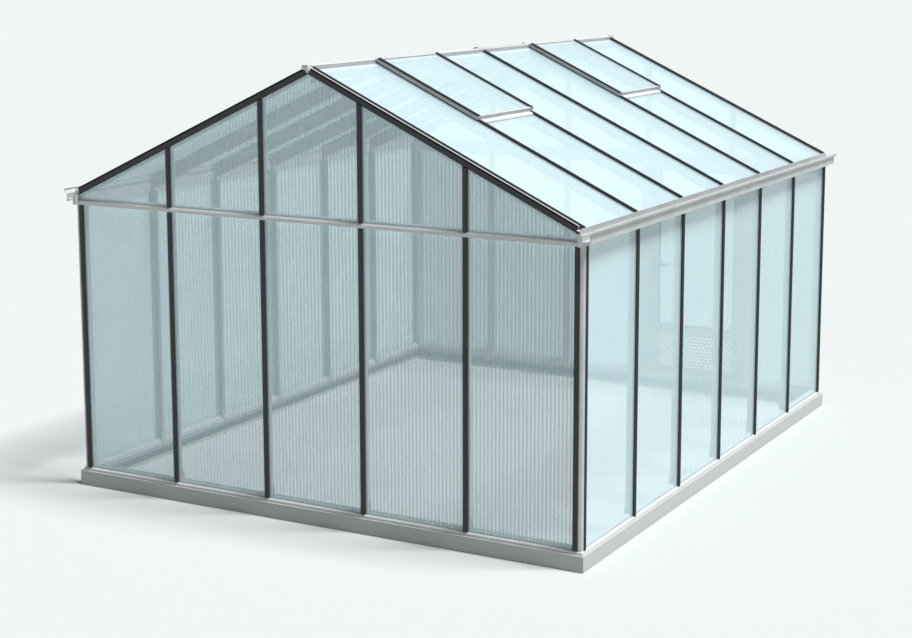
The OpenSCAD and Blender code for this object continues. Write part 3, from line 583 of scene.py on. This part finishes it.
screws = {
    "headRadius": 5 * mm,
    "headHeight": 2.6 * mm,
    "socketRadius": 2 * mm,
    "socketDepth": 1.6 * mm,
    "sides": 12,
    "pinOut": 8 * mm,                # how far a hinge's pin stands out before its flat halves
    "halfHeight": 40 * mm,           # of each half of a hinge, the leaf's above the post's
    "upHalf": (0.25, 0.75),          # the two heights of screws, as shares of a half
    "leafEdge": (10 * mm, 30 * mm),  # from the far edge of the leaf's half
    "postEdge": 9 * mm,              # from the far edge of the post's half
    "plateMiddle": 18 * mm,          # from the side of the handle to the middle of its plates
    "plateEnd": 12 * mm,
    "plateOut": 6.3 * mm,
}


def buttonHead():
    # a domed screw head with a recess in its middle, as a profile turned round its axis
    r, h = screws["headRadius"], screws["headHeight"]
    s, d = screws["socketRadius"], screws["socketDepth"]
    return turned([(0, h - d), (s, h - d), (s * 1.1, h), (r * 0.62, h * 0.94),
                   (r * 0.9, h * 0.55), (r, 0.1 * h), (r, 0)], screws["sides"])


def doorScrews():
    # screws through both halves of each hinge, and one at either end of the handle's plates
    onLeaf, onPost = [], []
    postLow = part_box("door_post_hinges")[0]
    hingeLow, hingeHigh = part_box("door_leaf_hinges")
    half = screws["halfHeight"]
    for z in (postLow.z, (leafLow.z + leafHigh.z) / 2, hingeHigh.z - 2 * half):
        for up in screws["upHalf"]:
            for edge in screws["leafEdge"]:
                onLeaf.append(((hingeHigh.x - edge, hingeLow.y + screws["pinOut"],
                                z + half + up * half), (0, -1, 0)))
            onPost.append(((postLow.x + screws["postEdge"], postLow.y + screws["pinOut"],
                            z + up * half), (0, -1, 0)))
    handleLow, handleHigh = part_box("door_handle")
    plateX = handleHigh.x - screws["plateMiddle"]
    for z in (handleLow.z + screws["plateEnd"], handleHigh.z - screws["plateEnd"]):
        onLeaf.append(((plateX, leafLow.y - screws["plateOut"], z), (0, -1, 0)))
        onLeaf.append(((plateX, leafHigh.y + screws["plateOut"], z), (0, 1, 0)))
    points, faces = copies(*buttonHead(), onLeaf)
    addPiece("door_leaf_screws", points, faces, steel, "door", "frame_aluminium")
    points, faces = copies(*buttonHead(), onPost)
    addPiece("door_post_screws", points, faces, steel, "building", "frame_aluminium")


doorScrews()

footPlates = {
    "width": 44 * mm,
    "height": 84 * mm,
    "thickness": 3 * mm,
    "corner": 6 * mm,
    "sillHeight": 32 * mm,
    "lift": 12 * mm,       # its middle above the top of the sill
    "nuts": ((-12 * mm, -26 * mm), (12 * mm, -26 * mm), (0, 24 * mm)),  # across and up
}
nut = {
    "bolt": 3.0 * mm,      # radius of the bolt that stands out of it
    "boltHeight": 7.6 * mm,
    "boltEdge": 0.6 * mm,
    "height": 5.0 * mm,
    "corners": 6.5 * mm,   # radius over its six corners
    "bevel": 1.3 * mm,
    "bevelHeight": 0.7 * mm,
}


def hexNut():
    # a nut with chamfered corners on the end of its bolt: rings of twelve points, where a
    # hexagon's ring draws every second one in by cos 30 degrees
    t = np.arange(12) * math.pi / 6
    sixSided = np.where(np.arange(12) % 2 == 0, 1.0, math.cos(math.pi / 6))
    bolt, top, corners, height = nut["bolt"], nut["boltHeight"], nut["corners"], nut["height"]
    edge = nut["boltEdge"]
    rings = [(0, top, 1), (bolt - edge, top, 1), (bolt, top - edge, 1), (bolt, height, 1),
             (corners - nut["bevel"], height, 1), (corners, height - nut["bevelHeight"], sixSided),
             (corners, 0, sixSided)]
    points = [np.stack([r * shape * np.cos(t), r * shape * np.sin(t), np.full(12, h)], axis=-1)
              for r, h, shape in rings]
    return np.concatenate(points), gridFaces(len(rings), 12, closed=True)


def barFeet():
    # a plate behind the foot of each bar, bolted to the sill below and to the bar's channel above
    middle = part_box("sills")[0].z + footPlates["sillHeight"] + footPlates["lift"]
    plates = []
    for node, inward in (("back_wall_bars", (0, -1, 0)), ("front_wall_bars", (0, 1, 0)),
                         ("left_wall_bars", (1, 0, 0)), ("right_wall_bars", (-1, 0, 0))):
        low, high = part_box(node)
        x, y = (high.x, high.y) if sum(inward) > 0 else (low.x, low.y)
        for line in barLines(node):
            plates.append(((x, line, middle) if inward[0] else (line, y, middle), inward))
    plate = roundedPlate(footPlates["width"], footPlates["height"],
                         footPlates["thickness"], footPlates["corner"])
    points, faces = copies(*plate, plates)
    addPiece("bar_foot_plates", points, faces, coatUpright, "building", "frame_aluminium")
    out = footPlates["thickness"]
    spots = [((x + ax * out - ay * across, y + ay * out + ax * across, z + up), (ax, ay, az))
             for (x, y, z), (ax, ay, az) in plates for across, up in footPlates["nuts"]]
    points, faces = copies(*hexNut(), spots)
    addPiece("bar_foot_nuts", points, faces, steel, "building", "frame_aluminium")


barFeet()

gasketThickness = 8 * mm  # of a roof gasket, square to the slope


def roofStrips(strips):
    # a strip is its side of the roof, a closed section of (y, n) and where it starts and ends
    # down the slope: x = s cos p + n sin p and z = apex - s sin p + n cos p, with n square to
    # the roof and p its pitch; each end closes on the section's middle
    low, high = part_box("roof_gaskets")
    apex = low.z + gasketThickness * math.cos(pitch) + high.x * math.tan(pitch)
    allPoints, allFaces = [], []
    for number, (side, section, start, end) in enumerate(strips):
        middle = np.tile(section.mean(axis=0), (len(section), 1))
        y, n = np.moveaxis(np.stack([middle, section, section, middle]), -1, 0)
        s = np.array((start, start, end, end))[:, None]
        x = side * (s * math.cos(pitch) + n * math.sin(pitch))
        z = apex - s * math.sin(pitch) + n * math.cos(pitch)
        allPoints.append(np.stack([x, y, z], axis=-1).reshape(-1, 3))
        allFaces.append(gridFaces(4, len(section), closed=True) + number * 4 * len(section))
    return np.concatenate(allPoints), np.concatenate(allFaces)


crowns = {
    "width": 36 * mm,
    "dip": 2 * mm,        # how far its edges lie below the gasket's flat top
    "rise": 7 * mm,       # and how far its middle stands above it
    "edgeLap": 9 * mm,    # the outermost ones are wider by this, over the verge
    "ventNear": 60 * mm,  # a vent this near to a gasket's line cuts it short
    "ventGap": 3 * mm,
    "steps": 9,
}


def roofCrowns():
    # the rounded back of each roof gasket, from the gutter to the ridge or to a vent's lower edge:
    # n = (dip + rise) (1 - (2 u)^2) - dip, with u from -1/2 to 1/2 across the gasket
    low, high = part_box("roof_gaskets")
    bottom = high.x / math.cos(pitch)
    length = (high.z - low.z - gasketThickness * math.cos(pitch)) / math.sin(pitch)
    vents = nodePoints("vent_frames")
    u = np.linspace(-0.5, 0.5, crowns["steps"])
    n = (crowns["dip"] + crowns["rise"]) * (1 - (2 * u) ** 2) - crowns["dip"]
    strips = []
    lines = barLines("roof_gaskets")
    for side in (-1, 1):
        for line in lines:
            lap = crowns["edgeLap"] * (line == lines[-1]) - crowns["edgeLap"] * (line == lines[0])
            across = line + lap / 2 + u * (crowns["width"] + abs(lap))
            nearLine = abs(vents[:, 1] - line) < crowns["ventNear"]
            covered = vents[(vents[:, 0] * side > 0) & nearLine]
            top = bottom - length
            if len(covered):
                top = abs(covered[:, 0]).max() / math.cos(pitch) + crowns["ventGap"]
            strips.append((side, np.stack([across, n], axis=-1), top, bottom))
    addPiece("roof_gasket_crowns", *roofStrips(strips), roofRubber, "building", "black_gasket")


noses = {
    "thickness": 3 * mm,
    "height": 9 * mm,
    "edge": 1.5 * mm,    # radius of its rounded edges
    "bite": 0.5 * mm,    # how far it is pressed into the verge
    "capGap": 2 * mm,    # clear of the cap on the ridge's end
}


def vergeNoses():
    # a flat black strip with rounded edges over the nose of each verge, above the gable gasket:
    # two quarter circles of radius edge, at its top and its bottom, joined by straight lines
    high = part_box("gable_rafters")[1]
    top = (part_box("ridge_end_caps")[1].x + noses["capGap"]) / math.cos(pitch)
    turn = np.linspace(0, math.pi / 2, 4)
    sine, cosine = noses["edge"] * np.sin(turn), noses["edge"] * np.cos(turn)
    corner = noses["thickness"] - noses["edge"]
    out = np.concatenate([[-noses["bite"]], corner + sine, corner + cosine, [-noses["bite"]]])
    n = np.concatenate([[0], cosine - noses["edge"], noses["edge"] - sine - noses["height"],
                        [-noses["height"]]])
    strips = []
    for side in (-1, 1):
        for end in (-1, 1):
            section = np.stack([end * (high.y + out), n], axis=-1)
            strips.append((side, section, top, high.x / math.cos(pitch)))
    addPiece("verge_nose_strips", *roofStrips(strips), roofRubber, "building", "black_gasket")


roofCrowns()
vergeNoses()

eaveCap = {
    "width": 29 * mm,
    "height": 69 * mm,
    "thickness": 2 * mm,
    "corner": 2 * mm,
    "fromWall": 15 * mm,  # its middle, in from the wall's outer face
    "up": 35 * mm,        # and above the beam's lower edge
}
ridgePlate = {
    "sideGap": 5 * mm,    # clear of the ridge cap's edge on either side
    "endGap": 1.5 * mm,   # and at its top and bottom
    "hollowTop": 3 * mm,  # the hollow's top below the cap's, and its height less than the cap's
    "hollowLess": 26 * mm,
    "setBack": 2.3 * mm,
    "thickness": 2 * mm,
    "corner": 1 * mm,
}


def eaveCaps():
    # a thin cap closes the hollow end of each eave beam
    spots = []
    for node, side in (("left_gutter", -1), ("right_gutter", 1)):
        low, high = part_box(node)
        x = side * (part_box("corner_posts")[1].x - eaveCap["fromWall"])
        for end, y in ((-1, low.y), (1, high.y)):
            spots.append(((x, y, low.z + eaveCap["up"]), (0, end, 0)))
    cap = roundedPlate(eaveCap["width"], eaveCap["height"], eaveCap["thickness"], eaveCap["corner"])
    # the eave caps take the paler coat too, a painted highlight
    addPiece("eave_beam_caps", *copies(*cap, spots), coatPaintedHighlight, "building", "frame_aluminium")


def ridgePlates():
    # and another closes the hollow cap at each end of the ridge
    low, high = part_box("ridge_end_caps")
    height = high.z - ridgePlate["hollowLess"] - low.z
    y, z = high.y - ridgePlate["setBack"], high.z - ridgePlate["hollowTop"] - height / 2
    plate = roundedPlate(high.x * 2 - ridgePlate["sideGap"] * 2, height - ridgePlate["endGap"] * 2,
                         ridgePlate["thickness"], ridgePlate["corner"])
    spots = [((0, end * y, z), (0, end, 0)) for end in (-1, 1)]
    # the ridge plates take the paler coat too, a painted highlight
    addPiece("ridge_cap_plates", *copies(*plate, spots), coatPaintedHighlight, "building", "frame_aluminium")


eaveCaps()
ridgePlates()
print("beads, screws and plates set")

studio = {
    "floorColour": "bfc4c2",
    "floorReach": 400.0,   # metres from its middle to each side
    "floorRoughness": (0.85, 0.95),
    "background": "f1f6f6",
    "skyStrength": 0.15,
    "skyColour": "f0f6fa",
    "sunStrength": 5.3,
    "sunHeight": 65,       # degrees above the horizon
    "sunFrom": 188,        # degrees round from +X, so it stands off the left wall
    "sunAngle": 20,        # degrees that its disc fills, so that its shadows are soft
}


def studioFloor():
    mesh = bpy.data.meshes.new("studio_floor")
    reach = studio["floorReach"]
    corners = [(-reach, -reach, 0), (reach, -reach, 0), (reach, reach, 0), (-reach, reach, 0)]
    mesh.from_pydata(corners, [], [(0, 1, 2, 3)])
    floor = bpy.data.objects.new("studio_floor", mesh)
    bpy.context.scene.collection.objects.link(floor)
    material, tree, place = startMaterial("plain pale floor")
    speckle = add(tree, "ShaderNodeTexNoise", {"Vector": place, "Scale": 40.0, "Detail": 2.0})
    smoothest, roughest = studio["floorRoughness"]
    rough = add(tree, "ShaderNodeMapRange", {
        "Value": speckle.outputs["Fac"], "To Min": smoothest, "To Max": roughest})
    finishMaterial(tree, add(tree, "ShaderNodeBsdfPrincipled", {
        "Base Color": linear(studio["floorColour"]), "Roughness": rough.outputs["Result"],
        "Specular IOR Level": 0.0}).outputs[0])
    mesh.materials.append(material)


def studioSky():
    # a dim even sky lights the object, and a plain pale backdrop stands behind it:
    # the camera, glossy coats and clear sheets see the backdrop
    world = bpy.data.worlds.new("studio sky")
    bpy.context.scene.world = world
    world.use_nodes = True
    tree = world.node_tree
    tree.nodes.clear()
    path = add(tree, "ShaderNodeLightPath")
    seen = add(tree, "ShaderNodeMath", {
        0: path.outputs["Is Camera Ray"], 1: path.outputs["Is Glossy Ray"]}, operation="MAXIMUM")
    seen = add(tree, "ShaderNodeMath", {
        0: seen.outputs[0], 1: path.outputs["Is Transmission Ray"]}, operation="MAXIMUM")
    sky = add(tree, "ShaderNodeBackground", {
        "Color": linear(studio["skyColour"]), "Strength": studio["skyStrength"]})
    backdrop = add(tree, "ShaderNodeBackground", {
        "Color": linear(studio["background"]), "Strength": 1.0})
    mixed = add(tree, "ShaderNodeMixShader", {
        0: seen.outputs[0], 1: sky.outputs[0], 2: backdrop.outputs[0]})
    add(tree, "ShaderNodeOutputWorld", {"Surface": mixed.outputs[0]})


def studioSun():
    light = bpy.data.lights.new("studio_sun", "SUN")
    light.energy = studio["sunStrength"]
    light.angle = math.radians(studio["sunAngle"])
    sun = bpy.data.objects.new("studio_sun", light)
    bpy.context.scene.collection.objects.link(sun)
    height, turn = math.radians(studio["sunHeight"]), math.radians(studio["sunFrom"])
    direction = Vector((math.cos(turn) * math.cos(height), math.sin(turn) * math.cos(height),
                        math.sin(height)))
    sun.rotation_mode = "QUATERNION"
    sun.rotation_quaternion = direction.to_track_quat("Z", "Y")


view = {
    "eye": (-6.236, 11.559, 3.637),
    "towards": (0.46955, -0.86861, -0.15823),
    "lens": 70.83,
    "sensorWidth": 36,
    "shiftX": -0.0264,
    "shiftY": -0.0857,
    "clipEnd": 2000,
}


def studioCamera():
    lens = bpy.data.cameras.new("studio_camera")
    lens.lens = view["lens"]
    lens.sensor_width = view["sensorWidth"]
    lens.shift_x = view["shiftX"]
    lens.shift_y = view["shiftY"]
    lens.clip_end = view["clipEnd"]
    camera = bpy.data.objects.new("studio_camera", lens)
    bpy.context.scene.collection.objects.link(camera)
    camera.location = view["eye"]
    camera.rotation_euler = Vector(view["towards"]).to_track_quat("-Z", "Y").to_euler()
    bpy.context.scene.camera = camera


studioFloor()
studioSky()
studioSun()
studioCamera()
bpy.context.scene.view_settings.view_transform = "Standard"
print("studio set")
